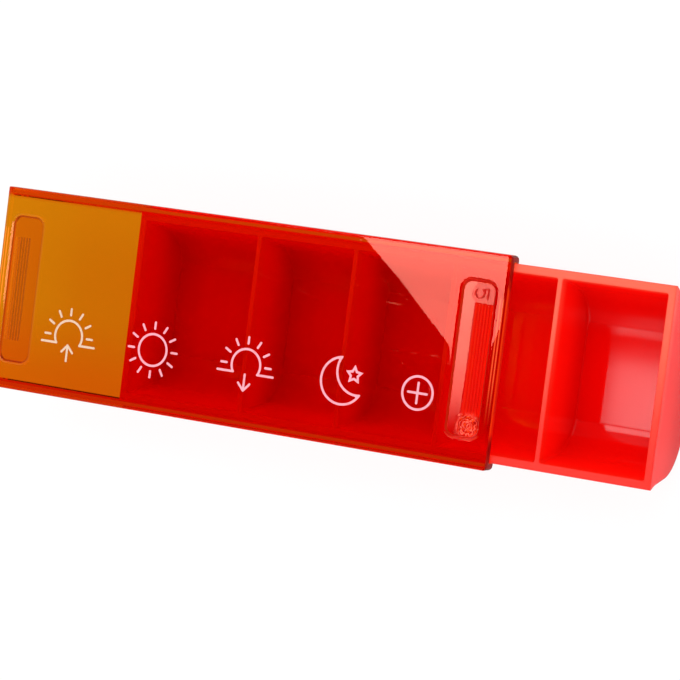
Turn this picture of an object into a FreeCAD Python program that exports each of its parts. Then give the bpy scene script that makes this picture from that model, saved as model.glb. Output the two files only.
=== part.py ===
# Daily pill organizer: a tray with five compartments, and a clear cover that slides along its rim.
# Sizes are in millimetres and leans in degrees. The origin is the middle of the tray's flat bottom,
# +X runs along the box towards the end that the cover leaves open, +Y across it and +Z up.
import FreeCAD, Part
import Sketcher
import math
import os

document = FreeCAD.newDocument("PillOrganizer")
sheet = document.addObject("Spreadsheet::Sheet", "sizes")

drivingSizes = (
    ("trayLength", 121.7, "tray from end to end, at the rim"),
    ("trayDepth", 18.0, "tray from its flat bottom to the rim"),
    ("wallThick", 1.3, "side walls of the tray"),
    ("floorThick", 1.6, "flat floor of the compartments"),
    ("endThick", 1.55, "end walls of the tray, at the rim"),
    ("endLean", 2.5, "how far the end walls lean in towards the bottom"),
    ("wallLean", 10.0, "how far the side walls lean in towards the bottom"),
    ("troughRadius", 10.8, "outside of the bend between side wall and bottom"),
    ("lipHeight", 0.6, "upright edge at the top of the rim"),
    ("undercutDrop", 2.1, "height of the slope that the rails hook under"),
    ("undercutInset", 0.85, "how far that slope goes in"),
    ("dividerThick", 1.05, "dividers, at their top"),
    ("dividerLean", 1.2, "how far a divider's faces lean, so that it is thicker at its foot"),
    ("firstRoom", 27.0, "compartment at the end that stays covered"),
    ("lastRoom", 22.5, "compartment at the open end"),
    ("roomRound", 0.4, "radius where a divider or end wall meets the trough"),
    ("rimRound", 0.3, "radius along the top of the walls and dividers"),
    ("coverShort", 1.3, "how much shorter the cover is than the tray"),
    ("coverWidth", 44.0, "cover over its rails"),
    ("plateThick", 1.5, "flat plate of the cover"),
    ("railDrop", 3.7, "bottom of the rails below the top of the cover"),
    ("railThick", 1.4, "rails, where they leave the plate"),
    ("railRound", 1.3, "outer bottom edge of the rails"),
    ("plateRound", 0.4, "outer top edge of the cover"),
    ("cornerRound", 0.7, "corners of the cover, seen from above"),
    ("endRound", 0.8, "top edges at the two ends of the cover, rounded off in two flats"),
    ("endRoundMeet", 0.23, "where the two flats meet, below the top and in from the end"),
    ("sideClearance", 0.2, "running gap between rail and rim"),
    ("liftClearance", 0.3, "gap between plate and rim"),
    ("coverShift", -34.0, "middle of the cover from the middle of the tray, half open"),
    ("gripInset", 2.65, "thumb recess from the end of the cover"),
    ("gripLength", 7.4, "thumb recess along the box"),
    ("gripMargin", 6.0, "thumb recess from the sides of the cover"),
    ("gripCorner", 2.0, "corner radius of the recess at its rim"),
    ("gripFootCorner", 1.7, "corner radius of the recess at its floor"),
    ("gripLip", 0.55, "width of the faint slope around the recess's rim"),
    ("gripLipDrop", 0.06, "how far that slope falls"),
    ("gripLipCorner", 2.55, "corner radius of its outside"),
    ("gripDepth", 0.55, "depth of the recess"),
    ("gripSlopeInner", 0.3, "width of the slope towards the middle of the cover"),
    ("gripSlopeOuter", 0.3, "width of the slope towards the end of the cover"),
    ("gripSlopeSide", 0.3, "width of the slopes at the recess's two short sides"),
    ("ridgeCount", 6, "grip ridges in a recess"),
    ("ridgePitch", 0.69, "from ridge to ridge"),
    ("ridgeHeight", 0.3, "height of a ridge above the recess's floor"),
    ("ridgeMargin", 4.7, "ridges from the recess's two short sides"),
    ("ridgeRoot", 0.1, "how deep a ridge is rooted in the floor"),
    ("numeralHeight", 3.1, "moulded figure in one recess"),
    ("numeralWidth", 2.3, "its width"),
    ("numeralStroke", 0.3, "width of its lines"),
    ("numeralRise", 0.24, "how far it stands up"),
    ("numeralMargin", 2.5, "its middle from the side of the recess"),
    ("numeralInset", 3.2, "its middle from the end of the recess"),
    ("pinRadius", 2.1, "round mark of the mould's pin, under the figure"),
    ("pinDepth", 0.08, "its depth"),
    ("gateRadius", 1.9, "round mark where the plastic flowed in"),
    ("gateDepth", 0.12, "its depth"),
    ("gateMargin", 2.3, "its middle from the other side of the recess"),
    ("gateInset", 2.65, "its middle from the end of the recess"),
    ("inkThick", 0.06, "printed ink"),
    ("lineWidth", 0.48, "printed lines"),
    ("printPlace", -8.5, "row of printed marks, across the box"),
    ("printShift", 1.1, "mark beyond the middle of its compartment"),
    ("endPrintShift", 0.3, "the same for the marks beside the recesses"),
    ("endPrintInward", 0.525, "how far those two stand towards the middle of the cover"),
    ("discRadius", 3.4, "sun discs and the plus sign's ring, middle of the line"),
    ("rayStart", 4.6, "inner end of a ray from the sun's middle"),
    ("rayEnd", 5.9, "outer end of a ray"),
    ("horizonStart", 2.9, "inner end of a horizon line"),
    ("horizonEnd", 6.6, "outer end of a horizon line"),
    ("horizonDrop", 1.7, "horizon below the sun's middle"),
    ("arrowTop", 2.0, "top of an arrow below the sun's middle"),
    ("arrowEnd", 5.4, "bottom of an arrow below the sun's middle"),
    ("barbReach", 1.36, "how far an arrow's barbs reach sideways"),
    ("barbRise", 1.5, "how far they reach back along the shaft"),
    ("plusReach", 2.1, "arms of the plus sign"),
    ("moonRadius", 4.9, "both arcs of the crescent, middle of the line"),
    ("moonBiteX", 3.5, "middle of the inner arc from the outer one's, along the box"),
    ("moonBiteY", 2.3, "the same across the box"),
    ("hornRound", 0.2, "rounding of the crescent's horns"),
    ("starRadius", 2.1, "tips of the star, outside of the line"),
    ("starWaist", 1.1, "inner corners of the star, outside of the line"),
    ("starX", 2.6, "middle of the star from the crescent's, along the box"),
    ("starY", 1.6, "the same across the box"),
)

for row, (alias, amount, note) in enumerate(drivingSizes, start=1):
    sheet.set("A%d" % row, alias)
    sheet.set("B%d" % row, str(amount))
    sheet.set("C%d" % row, note)
    sheet.setAlias("B%d" % row, alias)
document.recompute()

# Distances that follow from the driving sizes
rimHalf = "(sizes.coverWidth / 2 - sizes.railThick - sizes.sideClearance)"
wallTop = "(sizes.trayDepth - sizes.lipHeight - sizes.undercutDrop)"
wallHalf = "(%s - sizes.undercutInset)" % rimHalf
wallSlope = "tan(sizes.wallLean * 1 deg)"
wallSine = "sin(sizes.wallLean * 1 deg)"
wallCosine = "cos(sizes.wallLean * 1 deg)"
bendHalf = "(%s - %s * %s - sizes.troughRadius * tan(45 deg - sizes.wallLean * 0.5 deg))" % (
    wallHalf, wallTop, wallSlope)
innerRadius = "(sizes.troughRadius - sizes.wallThick)"
coverTop = "(sizes.trayDepth + sizes.liftClearance + sizes.plateThick)"
coverLength = "(sizes.trayLength - sizes.coverShort)"
railSlope = "(sizes.undercutInset / sizes.undercutDrop)"
gripEnd = "(%s / 2 - sizes.gripInset)" % coverLength
gripSide = "(sizes.coverWidth / 2 - sizes.gripMargin)"
gripFloor = "(%s - sizes.gripDepth)" % coverTop
innerEnd = "(sizes.trayLength / 2 - sizes.endThick)"
middleRoom = "((2 * %s - sizes.firstRoom - sizes.lastRoom - 4 * sizes.dividerThick) / 3)" % innerEnd
overcut = 2.0
roomTop = "(sizes.trayDepth + %g)" % overcut
plateUnder = "(%s - sizes.plateThick)" % coverTop
railFoot = "(%s - sizes.railDrop)" % coverTop
railInner = "(sizes.coverWidth / 2 - sizes.railThick)"
hookTop = "(sizes.trayDepth - sizes.lipHeight)"
railLip = "(%s - (%s - %s) * %s)" % (railInner, hookTop, railFoot, railSlope)
gripFootEnd = "(%s - sizes.gripSlopeOuter)" % gripEnd

# Where each compartment starts and ends along the box, at the rim
roomBounds = [("(-%s)" % innerEnd, "(-%s + sizes.firstRoom)" % innerEnd)]
for step in range(3):
    start = "(%s + sizes.dividerThick)" % roomBounds[-1][1]
    roomBounds.append((start, "(%s + %s)" % (start, middleRoom)))
roomBounds.append(("(%s - sizes.lastRoom)" % innerEnd, innerEnd))


def number(expression):
    return float(sheet.evalExpression(expression))


def addBody(name):
    body = document.addObject("PartDesign::Body", name)
    body.Label = name
    body.AllowCompound = True
    return body


def addSketch(body, name, role, lift=None):
    sketch = body.newObject("Sketcher::SketchObject", name)
    plane = [feature for feature in body.Origin.OriginFeatures if feature.Role == role][0]
    sketch.AttachmentSupport = [(plane, "")]
    sketch.MapMode = "FlatFace"
    if lift:
        sketch.setExpression("AttachmentOffset.Base.z", lift)
    return sketch


# One coordinate of a sketch point is held at the value of an expression.
def holdAlong(sketch, geometry, point, direction, expression):
    constraint = Sketcher.Constraint(direction, -1, 1, geometry, point, number(expression))
    index = sketch.addConstraint(constraint)
    sketch.setExpression("Constraints[%d]" % index, expression)


def holdPoint(sketch, geometry, point, x, y):
    holdAlong(sketch, geometry, point, "DistanceX", x)
    holdAlong(sketch, geometry, point, "DistanceY", y)


# A closed outline. Each corner is (x, y), or (x, y, centre x, centre y) where an arc that turns
# anticlockwise leads on to the next corner.
def addOutline(sketch, corners):
    spots = [FreeCAD.Vector(number(corner[0]), number(corner[1]), 0) for corner in corners]
    pieces = []
    for index, corner in enumerate(corners):
        start = spots[index]
        end = spots[(index + 1) % len(spots)]
        if len(corner) == 2:
            pieces.append(sketch.addGeometry(Part.LineSegment(start, end)))
            continue
        centre = FreeCAD.Vector(number(corner[2]), number(corner[3]), 0)
        circle = Part.Circle(centre, FreeCAD.Vector(0, 0, 1), start.distanceToPoint(centre))
        first = math.atan2(start.y - centre.y, start.x - centre.x)
        last = math.atan2(end.y - centre.y, end.x - centre.x)
        if last < first:
            last += 2 * math.pi
        pieces.append(sketch.addGeometry(Part.ArcOfCircle(circle, first, last)))
    for index, piece in enumerate(pieces):
        after = pieces[(index + 1) % len(pieces)]
        sketch.addConstraint(Sketcher.Constraint("Coincident", piece, 2, after, 1))
    for index, corner in enumerate(corners):
        before = corners[index - 1]
        if len(before) == 2:
            holdPoint(sketch, pieces[index], 1, corner[0], corner[1])
        elif abs(spots[index].x - number(before[2])) > abs(spots[index].y - number(before[3])):
            holdAlong(sketch, pieces[index], 1, "DistanceY", corner[1])
        else:
            holdAlong(sketch, pieces[index], 1, "DistanceX", corner[0])
        if len(corner) == 4:
            holdPoint(sketch, pieces[index], 3, corner[2], corner[3])


# A rectangle with rounded corners, from its low corner to its high one.
def addRoundedOutline(sketch, low, high, radius):
    left = "(%s + %s)" % (low[0], radius)
    right = "(%s - %s)" % (high[0], radius)
    near = "(%s + %s)" % (low[1], radius)
    far = "(%s - %s)" % (high[1], radius)
    addOutline(sketch, [
        (left, low[1]),
        (right, low[1], right, near),
        (high[0], near),
        (high[0], far, right, far),
        (right, high[1]),
        (left, high[1], left, far),
        (low[0], far),
        (low[0], near, left, near),
    ])


# A line with round ends, given by the middles of its ends.
def addStroke(sketch, start, end, width):
    first = FreeCAD.Vector(number(start[0]), number(start[1]), 0)
    last = FreeCAD.Vector(number(end[0]), number(end[1]), 0)
    radius = number(width) / 2
    along = math.atan2(last.y - first.y, last.x - first.x)
    side = FreeCAD.Vector(-math.sin(along), math.cos(along), 0) * radius
    axis = FreeCAD.Vector(0, 0, 1)
    quarter = math.pi / 2
    lower = sketch.addGeometry(Part.LineSegment(first - side, last - side))
    noseCircle = Part.Circle(last, axis, radius)
    nose = sketch.addGeometry(Part.ArcOfCircle(noseCircle, along - quarter, along + quarter))
    upper = sketch.addGeometry(Part.LineSegment(last + side, first + side))
    tailCircle = Part.Circle(first, axis, radius)
    tail = sketch.addGeometry(Part.ArcOfCircle(tailCircle, along + quarter, along + 3 * quarter))
    for piece, after in ((lower, nose), (nose, upper), (upper, tail), (tail, lower)):
        sketch.addConstraint(Sketcher.Constraint("Tangent", piece, 2, after, 1))
    sketch.addConstraint(Sketcher.Constraint("Equal", nose, tail))
    holdPoint(sketch, tail, 3, start[0], start[1])
    holdPoint(sketch, nose, 3, end[0], end[1])
    index = sketch.addConstraint(Sketcher.Constraint("Radius", nose, radius))
    sketch.setExpression("Constraints[%d]" % index, "%s / 2" % width)


def spotOnCircle(centre, radius, angle):
    return ("%s + %s * cos(%g deg)" % (centre[0], radius, angle),
            "%s + %s * sin(%g deg)" % (centre[1], radius, angle))


# An arc with round ends, anticlockwise between two angles in degrees.
def addCurvedStroke(sketch, centre, bend, firstAngle, lastAngle, width):
    middle = FreeCAD.Vector(number(centre[0]), number(centre[1]), 0)
    radius = number(bend)
    half = number(width) / 2
    first = math.radians(firstAngle)
    last = math.radians(lastAngle)
    axis = FreeCAD.Vector(0, 0, 1)
    firstSpot = middle + FreeCAD.Vector(math.cos(first), math.sin(first), 0) * radius
    lastSpot = middle + FreeCAD.Vector(math.cos(last), math.sin(last), 0) * radius
    outer = sketch.addGeometry(Part.ArcOfCircle(Part.Circle(middle, axis, radius + half), first, last))
    inner = sketch.addGeometry(Part.ArcOfCircle(Part.Circle(middle, axis, radius - half), first, last))
    nose = sketch.addGeometry(Part.ArcOfCircle(Part.Circle(lastSpot, axis, half), last, last + math.pi))
    tail = sketch.addGeometry(Part.ArcOfCircle(Part.Circle(firstSpot, axis, half), first - math.pi, first))
    joins = ((outer, 2, nose, 1), (nose, 2, inner, 2), (inner, 1, tail, 1), (tail, 2, outer, 1))
    for piece, end, after, start in joins:
        sketch.addConstraint(Sketcher.Constraint("Tangent", piece, end, after, start))
    holdPoint(sketch, outer, 3, centre[0], centre[1])
    sketch.addConstraint(Sketcher.Constraint("Coincident", inner, 3, outer, 3))
    index = sketch.addConstraint(Sketcher.Constraint("Radius", tail, half))
    sketch.setExpression("Constraints[%d]" % index, "%s / 2" % width)
    holdPoint(sketch, tail, 3, *spotOnCircle(centre, bend, firstAngle))
    noseX, noseY = spotOnCircle(centre, bend, lastAngle)
    if abs(math.sin(last)) > abs(math.cos(last)):
        holdAlong(sketch, nose, 3, "DistanceX", noseX)
    else:
        holdAlong(sketch, nose, 3, "DistanceY", noseY)


def addPad(body, sketch, length, symmetric=False, reverse=False):
    pad = body.newObject("PartDesign::Pad", sketch.Name.replace("Sketch", "Pad"))
    pad.Profile = sketch
    pad.SideType = "Symmetric" if symmetric else "One side"
    pad.Reversed = reverse
    pad.setExpression("Length", length)
    sketch.Visibility = False
    document.recompute()
    return pad


# A pocket has to take material away, so the volume is compared.
def addPocket(body, sketch, length, symmetric=False, reverse=False):
    before = body.Shape.Volume
    pocket = body.newObject("PartDesign::Pocket", sketch.Name.replace("Sketch", "Pocket"))
    pocket.Profile = sketch
    pocket.SideType = "Symmetric" if symmetric else "One side"
    pocket.Reversed = reverse
    pocket.setExpression("Length", length)
    document.recompute()
    if not body.Shape.Volume < before - 1e-6:
        raise RuntimeError("%s cuts nothing" % pocket.Name)
    return pocket


# Rounds the edges of the body's last feature that the test picks.
def addFillet(body, name, radius, picks):
    base = body.Tip
    names = ["Edge%d" % (index + 1) for index, edge in enumerate(base.Shape.Edges) if picks(edge)]
    if not names:
        raise RuntimeError("%s finds no edge" % name)
    fillet = body.newObject("PartDesign::Fillet", name)
    fillet.Base = (base, names)
    fillet.setExpression("Radius", radius)
    document.recompute()
    return fillet


# Cuts both ends of a trough to flat faces that lean inwards as they go down. Each face meets the
# rim's height at the given place.
def leanEnds(body, name, low, high, leans):
    sketch = addSketch(body, name, "XZ_Plane")
    for end, sign, lean in ((low, "-1", leans[0]), (high, "1", leans[1])):
        slope = "%s * tan(%s * 1 deg)" % (sign, lean)
        above = "%s + %g * %s" % (end, overcut, slope)
        below = "%s - (sizes.trayDepth + %g) * %s" % (end, overcut, slope)
        outside = "%s + %s * %g" % (end, sign, overcut)
        addOutline(sketch, [
            (above, roomTop),
            (below, "-%g" % overcut),
            (outside, "-%g" % overcut),
            (outside, roomTop),
        ])
    addPocket(body, sketch, "2 * sizes.coverWidth", symmetric=True)


def addTroughPad(body, name, corners, low, high):
    section = addSketch(body, name, "YZ_Plane", "(%s + %s) / 2" % (low, high))
    addOutline(section, corners)
    addPad(body, section, "%s - (%s) + %g" % (high, low, overcut), symmetric=True)


# The space of one compartment, from its floor to a little above the rim.
def makeRoom(name, low, high, leans):
    room = addBody(name)
    side = "(%s + %s * %s)" % (bendHalf, innerRadius, wallCosine)
    sideHeight = "(sizes.troughRadius - %s * %s)" % (innerRadius, wallSine)
    top = "(%s + (%s - %s) * %s)" % (side, roomTop, sideHeight, wallSlope)
    addTroughPad(room, name + "SectionSketch", [
        ("-" + bendHalf, "sizes.wallThick"),
        (bendHalf, "sizes.wallThick", bendHalf, "sizes.troughRadius"),
        (side, sideHeight),
        (top, roomTop),
        ("-" + top, roomTop),
        ("-" + side, sideHeight, "-" + bendHalf, "sizes.troughRadius"),
    ], low, high)
    leanEnds(room, name + "EndsSketch", low, high, leans)
    topHeight = number(roomTop)
    addFillet(room, name + "Rounds", "sizes.roomRound",
              lambda edge: edge.BoundBox.XLength < overcut and edge.BoundBox.ZMin < topHeight - overcut / 2)
    floor = addSketch(room, name + "FloorSketch", "XZ_Plane")
    addOutline(floor, [
        (low, "0"),
        (high, "0"),
        (high, "sizes.floorThick"),
        (low, "sizes.floorThick"),
    ])
    addPocket(room, floor, "2 * sizes.coverWidth", symmetric=True)
    return room


def makeTray():
    tray = addBody("tray")
    bendSide = "(%s + sizes.troughRadius * %s)" % (bendHalf, wallCosine)
    bendTop = "(sizes.troughRadius - sizes.troughRadius * %s)" % wallSine
    low = "(-sizes.trayLength / 2)"
    high = "(sizes.trayLength / 2)"
    addTroughPad(tray, "traySectionSketch", [
        ("-" + bendHalf, "0"),
        (bendHalf, "0", bendHalf, "sizes.troughRadius"),
        (bendSide, bendTop),
        (wallHalf, wallTop),
        (rimHalf, hookTop),
        (rimHalf, "sizes.trayDepth"),
        ("-" + rimHalf, "sizes.trayDepth"),
        ("-" + rimHalf, hookTop),
        ("-" + wallHalf, wallTop),
        ("-" + bendSide, bendTop, "-" + bendHalf, "sizes.troughRadius"),
    ], low, high)
    leanEnds(tray, "trayEndsSketch", low, high, ("sizes.endLean", "sizes.endLean"))
    rooms = []
    for index, (roomLow, roomHigh) in enumerate(roomBounds):
        leans = ["sizes.dividerLean", "sizes.dividerLean"]
        if index == 0:
            leans[0] = "sizes.endLean"
        if index == len(roomBounds) - 1:
            leans[1] = "sizes.endLean"
        rooms.append(makeRoom("room%d" % (index + 1), roomLow, roomHigh, leans))
    before = tray.Shape.Volume
    hollow = tray.newObject("PartDesign::Boolean", "hollow")
    hollow.Type = "Cut"
    hollow.setObjects(rooms)
    document.recompute()
    if not tray.Shape.Volume < before / 2:
        raise RuntimeError("the compartments cut too little")
    rimHeight = number("sizes.trayDepth")
    addFillet(tray, "rimRounds", "sizes.rimRound",
              lambda edge: edge.BoundBox.ZMin > rimHeight - 1e-4)
    return tray


# A rail's inner face, from the plate down to its lip: upright, then hooked in under the rim.
def railFace(sign):
    return [
        ("%s * %s" % (sign, railInner), plateUnder),
        ("%s * %s" % (sign, railInner), hookTop),
        ("%s * %s" % (sign, railLip), railFoot),
    ]


def makeCover():
    cover = addBody("slide_cover")
    half = "(sizes.coverWidth / 2)"
    footSide = "(%s - sizes.railRound)" % half
    footRise = "(%s + sizes.railRound)" % railFoot
    topSide = "(%s - sizes.plateRound)" % half
    topFall = "(%s - sizes.plateRound)" % coverTop
    section = addSketch(cover, "coverSectionSketch", "YZ_Plane")
    addOutline(section, [
        (railLip, railFoot),
        (footSide, railFoot, footSide, footRise),
        (half, footRise),
        (half, topFall, topSide, topFall),
        (topSide, coverTop),
        ("-" + topSide, coverTop, "-" + topSide, topFall),
        ("-" + half, topFall),
        ("-" + half, footRise, "-" + footSide, footRise),
        ("-" + footSide, railFoot),
    ] + railFace("-1")[::-1] + railFace("1")[:2])
    addPad(cover, section, coverLength, symmetric=True)

    corners = addSketch(cover, "coverCornersSketch", "XY_Plane")
    for signX, signY in (("1", "1"), ("-1", "1"), ("-1", "-1"), ("1", "-1")):
        endX = "%s * %s / 2" % (signX, coverLength)
        endY = "%s * sizes.coverWidth / 2" % signY
        centreX = "%s * (%s / 2 - sizes.cornerRound)" % (signX, coverLength)
        centreY = "%s * (sizes.coverWidth / 2 - sizes.cornerRound)" % signY
        farX = "%s * (%s / 2 + %g)" % (signX, coverLength, overcut)
        farY = "%s * (sizes.coverWidth / 2 + %g)" % (signY, overcut)
        if signX == signY:
            ends = [(endX, centreY), (centreX, endY)]
            around = [(centreX, farY), (farX, farY), (farX, centreY)]
        else:
            ends = [(centreX, endY), (endX, centreY)]
            around = [(farX, centreY), (farX, farY), (centreX, farY)]
        addOutline(corners, [ends[0] + (centreX, centreY), ends[1]] + around)
    addPocket(cover, corners, "4 * sizes.trayDepth", symmetric=True)

    flats = addSketch(cover, "endFlatsSketch", "XZ_Plane")
    for sign in ("-1", "1"):
        inward, outward, meet = ["%s * (%s / 2 %s)" % (sign, coverLength, change) for change in (
            "- sizes.endRound", "+ sizes.endRound", "- sizes.endRoundMeet")]
        low = "%s - sizes.endRound" % coverTop
        high = "%s + sizes.endRound" % coverTop
        addOutline(flats, [
            (inward, coverTop), (inward, high), (outward, high), (outward, low),
            ("%s * %s / 2" % (sign, coverLength), low), (meet, "%s - sizes.endRoundMeet" % coverTop),
        ])
    addPocket(cover, flats, "2 * sizes.coverWidth", symmetric=True)

    lip = addSketch(cover, "gripLipSketch", "XY_Plane", coverTop)
    lipSpan = "(%s + sizes.gripLip)" % gripSide
    addRoundedOutline(lip, ("(%s - sizes.gripLength - sizes.gripLip)" % gripEnd, "-" + lipSpan),
                      ("(%s + sizes.gripLip)" % gripEnd, lipSpan), "sizes.gripLipCorner")
    rim = addSketch(cover, "gripRimSketch", "XY_Plane", "%s - sizes.gripLipDrop" % coverTop)
    addRoundedOutline(rim, ("(%s - sizes.gripLength)" % gripEnd, "-" + gripSide),
                      (gripEnd, gripSide), "sizes.gripCorner")
    foot = addSketch(cover, "gripFloorSketch", "XY_Plane", gripFloor)
    footSpan = "(%s - sizes.gripSlopeSide)" % gripSide
    footLow = "(%s - sizes.gripLength + sizes.gripSlopeInner)" % gripEnd
    addRoundedOutline(foot, (footLow, "-" + footSpan), (gripFootEnd, footSpan), "sizes.gripFootCorner")
    before = cover.Shape.Volume
    recess = cover.newObject("PartDesign::SubtractiveLoft", "gripRecess")
    recess.Profile = lip
    recess.Sections = [rim, foot]
    recess.Ruled = True
    document.recompute()
    if not cover.Shape.Volume < before - 1:
        raise RuntimeError("the thumb recess cuts nothing")

    ridges = addSketch(cover, "ridgesSketch", "XZ_Plane")
    root = "(%s - sizes.ridgeRoot)" % gripFloor
    for index in range(int(number("sizes.ridgeCount"))):
        outer = "(%s - %d * sizes.ridgePitch)" % (gripFootEnd, index)
        addOutline(ridges, [
            (outer, root),
            ("%s - sizes.ridgePitch / 2" % outer, "%s + sizes.ridgeHeight" % gripFloor),
            ("%s - sizes.ridgePitch" % outer, root),
        ])
    ridgePad = addPad(cover, ridges, "2 * (%s - sizes.ridgeMargin)" % gripSide, symmetric=True)
    mirrored = cover.newObject("PartDesign::Mirrored", "otherGrip")
    mirrored.Originals = [recess, ridgePad]
    middle = [feature for feature in cover.Origin.OriginFeatures if feature.Role == "YZ_Plane"][0]
    mirrored.MirrorPlane = (middle, [""])
    cover.Tip = mirrored
    document.recompute()

    # The figure 5 lies on its side in a round pin mark, its top towards the end of the cover
    pinFloor = "(%s - sizes.pinDepth)" % gripFloor
    pin = addSketch(cover, "pinSketch", "XY_Plane", gripFloor)
    pinPlace = ("%s - sizes.numeralInset" % gripEnd, "%s - sizes.numeralMargin" % gripSide)
    addDisc(pin, pinPlace, "sizes.pinRadius")
    addPocket(cover, pin, "sizes.pinDepth")
    figureTop = "(%s - sizes.numeralInset + sizes.numeralHeight / 2 - sizes.numeralStroke / 2)" % gripEnd
    figureFoot = "(%s - sizes.numeralInset - sizes.numeralHeight / 2 + sizes.numeralStroke / 2)" % gripEnd
    figurePlace = "(%s - sizes.numeralMargin)" % gripSide
    figureFar = "(%s + sizes.numeralWidth / 2 - sizes.numeralStroke / 2)" % figurePlace
    figureNear = "(%s - sizes.numeralWidth / 2 + sizes.numeralStroke / 2)" % figurePlace
    bowl = "((%s - %s) / 2)" % (figureFar, figureNear)
    bowlCentre = ("(%s + %s)" % (figureFoot, bowl), figurePlace)
    bowlFirst = 130
    bowlLast = 410
    lines = (("figureBar", (figureTop, figureFar), (figureTop, figureNear)),
             ("figureStem", (figureTop, figureFar), spotOnCircle(bowlCentre, bowl, bowlLast)))
    for name, start, end in lines:
        stroke = addSketch(cover, name + "Sketch", "XY_Plane", pinFloor)
        addStroke(stroke, start, end, "sizes.numeralStroke")
        addPad(cover, stroke, "sizes.numeralRise")
    curve = addSketch(cover, "figureBowlSketch", "XY_Plane", pinFloor)
    addCurvedStroke(curve, bowlCentre, bowl, bowlFirst, bowlLast, "sizes.numeralStroke")
    addPad(cover, curve, "sizes.numeralRise")

    gate = addSketch(cover, "gateSketch", "XY_Plane", gripFloor)
    gatePlace = ("%s - sizes.gateInset" % gripEnd, "sizes.gateMargin - %s" % gripSide)
    addDisc(gate, gatePlace, "sizes.gateRadius")
    addPocket(cover, gate, "sizes.gateDepth")
    cover.setExpression("Placement.Base.x", "sizes.coverShift")
    return cover


def addDisc(sketch, centre, radius):
    middle = FreeCAD.Vector(number(centre[0]), number(centre[1]), 0)
    disc = sketch.addGeometry(Part.Circle(middle, FreeCAD.Vector(0, 0, 1), number(radius)))
    holdPoint(sketch, disc, 3, centre[0], centre[1])
    index = sketch.addConstraint(Sketcher.Constraint("Radius", disc, number(radius)))
    sketch.setExpression("Constraints[%d]" % index, radius)


# A printed mark lies on the cover, with its middle at x from the cover's middle.
def addPrint(name, x):
    mark = addBody(name)
    mark.setExpression("Placement.Base.x", "sizes.coverShift + " + x)
    mark.setExpression("Placement.Base.y", "sizes.printPlace")
    mark.setExpression("Placement.Base.z", coverTop)
    return mark


def printStroke(mark, name, start, end):
    sketch = addSketch(mark, name + "Sketch", "XY_Plane")
    addStroke(sketch, start, end, "sizes.lineWidth")
    return addPad(mark, sketch, "sizes.inkThick")


def printRing(mark, name):
    sketch = addSketch(mark, name + "Sketch", "XY_Plane")
    addDisc(sketch, ("0", "0"), "sizes.discRadius + sizes.lineWidth / 2")
    addDisc(sketch, ("0", "0"), "sizes.discRadius - sizes.lineWidth / 2")
    addPad(mark, sketch, "sizes.inkThick")


# Rays stand evenly round the sun, from its right side anticlockwise.
def printRays(mark, name, count, turn):
    ray = printStroke(mark, name, ("sizes.rayStart", "0"), ("sizes.rayEnd", "0"))
    pattern = mark.newObject("PartDesign::PolarPattern", name + "Pattern")
    pattern.Originals = [ray]
    pattern.Axis = (ray.Profile[0], ["N_Axis"])
    pattern.Angle = turn
    pattern.Occurrences = count
    mark.Tip = pattern
    document.recompute()


# A sun that rises from or sinks below the horizon, with an arrow that points up or down.
def makeHalfSun(name, x, rising):
    mark = addPrint(name, x)
    disc = addSketch(mark, name + "DiscSketch", "XY_Plane")
    addCurvedStroke(disc, ("0", "0"), "sizes.discRadius", -30, 210, "sizes.lineWidth")
    addPad(mark, disc, "sizes.inkThick")
    printRays(mark, name + "Ray", 7, 180)
    for side, sign in (("Left", "-"), ("Right", "")):
        printStroke(mark, name + side + "Horizon", (sign + "sizes.horizonStart", "-sizes.horizonDrop"),
                    (sign + "sizes.horizonEnd", "-sizes.horizonDrop"))
    printStroke(mark, name + "Shaft", ("0", "-sizes.arrowTop"), ("0", "-sizes.arrowEnd"))
    tip = "-sizes.arrowTop" if rising else "-sizes.arrowEnd"
    back = tip + (" - " if rising else " + ") + "sizes.barbRise"
    for side, sign in (("Left", "-"), ("Right", "")):
        printStroke(mark, name + side + "Barb", ("0", tip), (sign + "sizes.barbReach", back))
    return mark


def makeSun(name, x):
    mark = addPrint(name, x)
    printRing(mark, name + "Disc")
    printRays(mark, name + "Ray", 12, 360)
    return mark


def makePlus(name, x):
    mark = addPrint(name, x)
    printRing(mark, name + "Ring")
    printStroke(mark, name + "Bar", ("-sizes.plusReach", "0"), ("sizes.plusReach", "0"))
    printStroke(mark, name + "Post", ("0", "-sizes.plusReach"), ("0", "sizes.plusReach"))
    return mark


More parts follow.
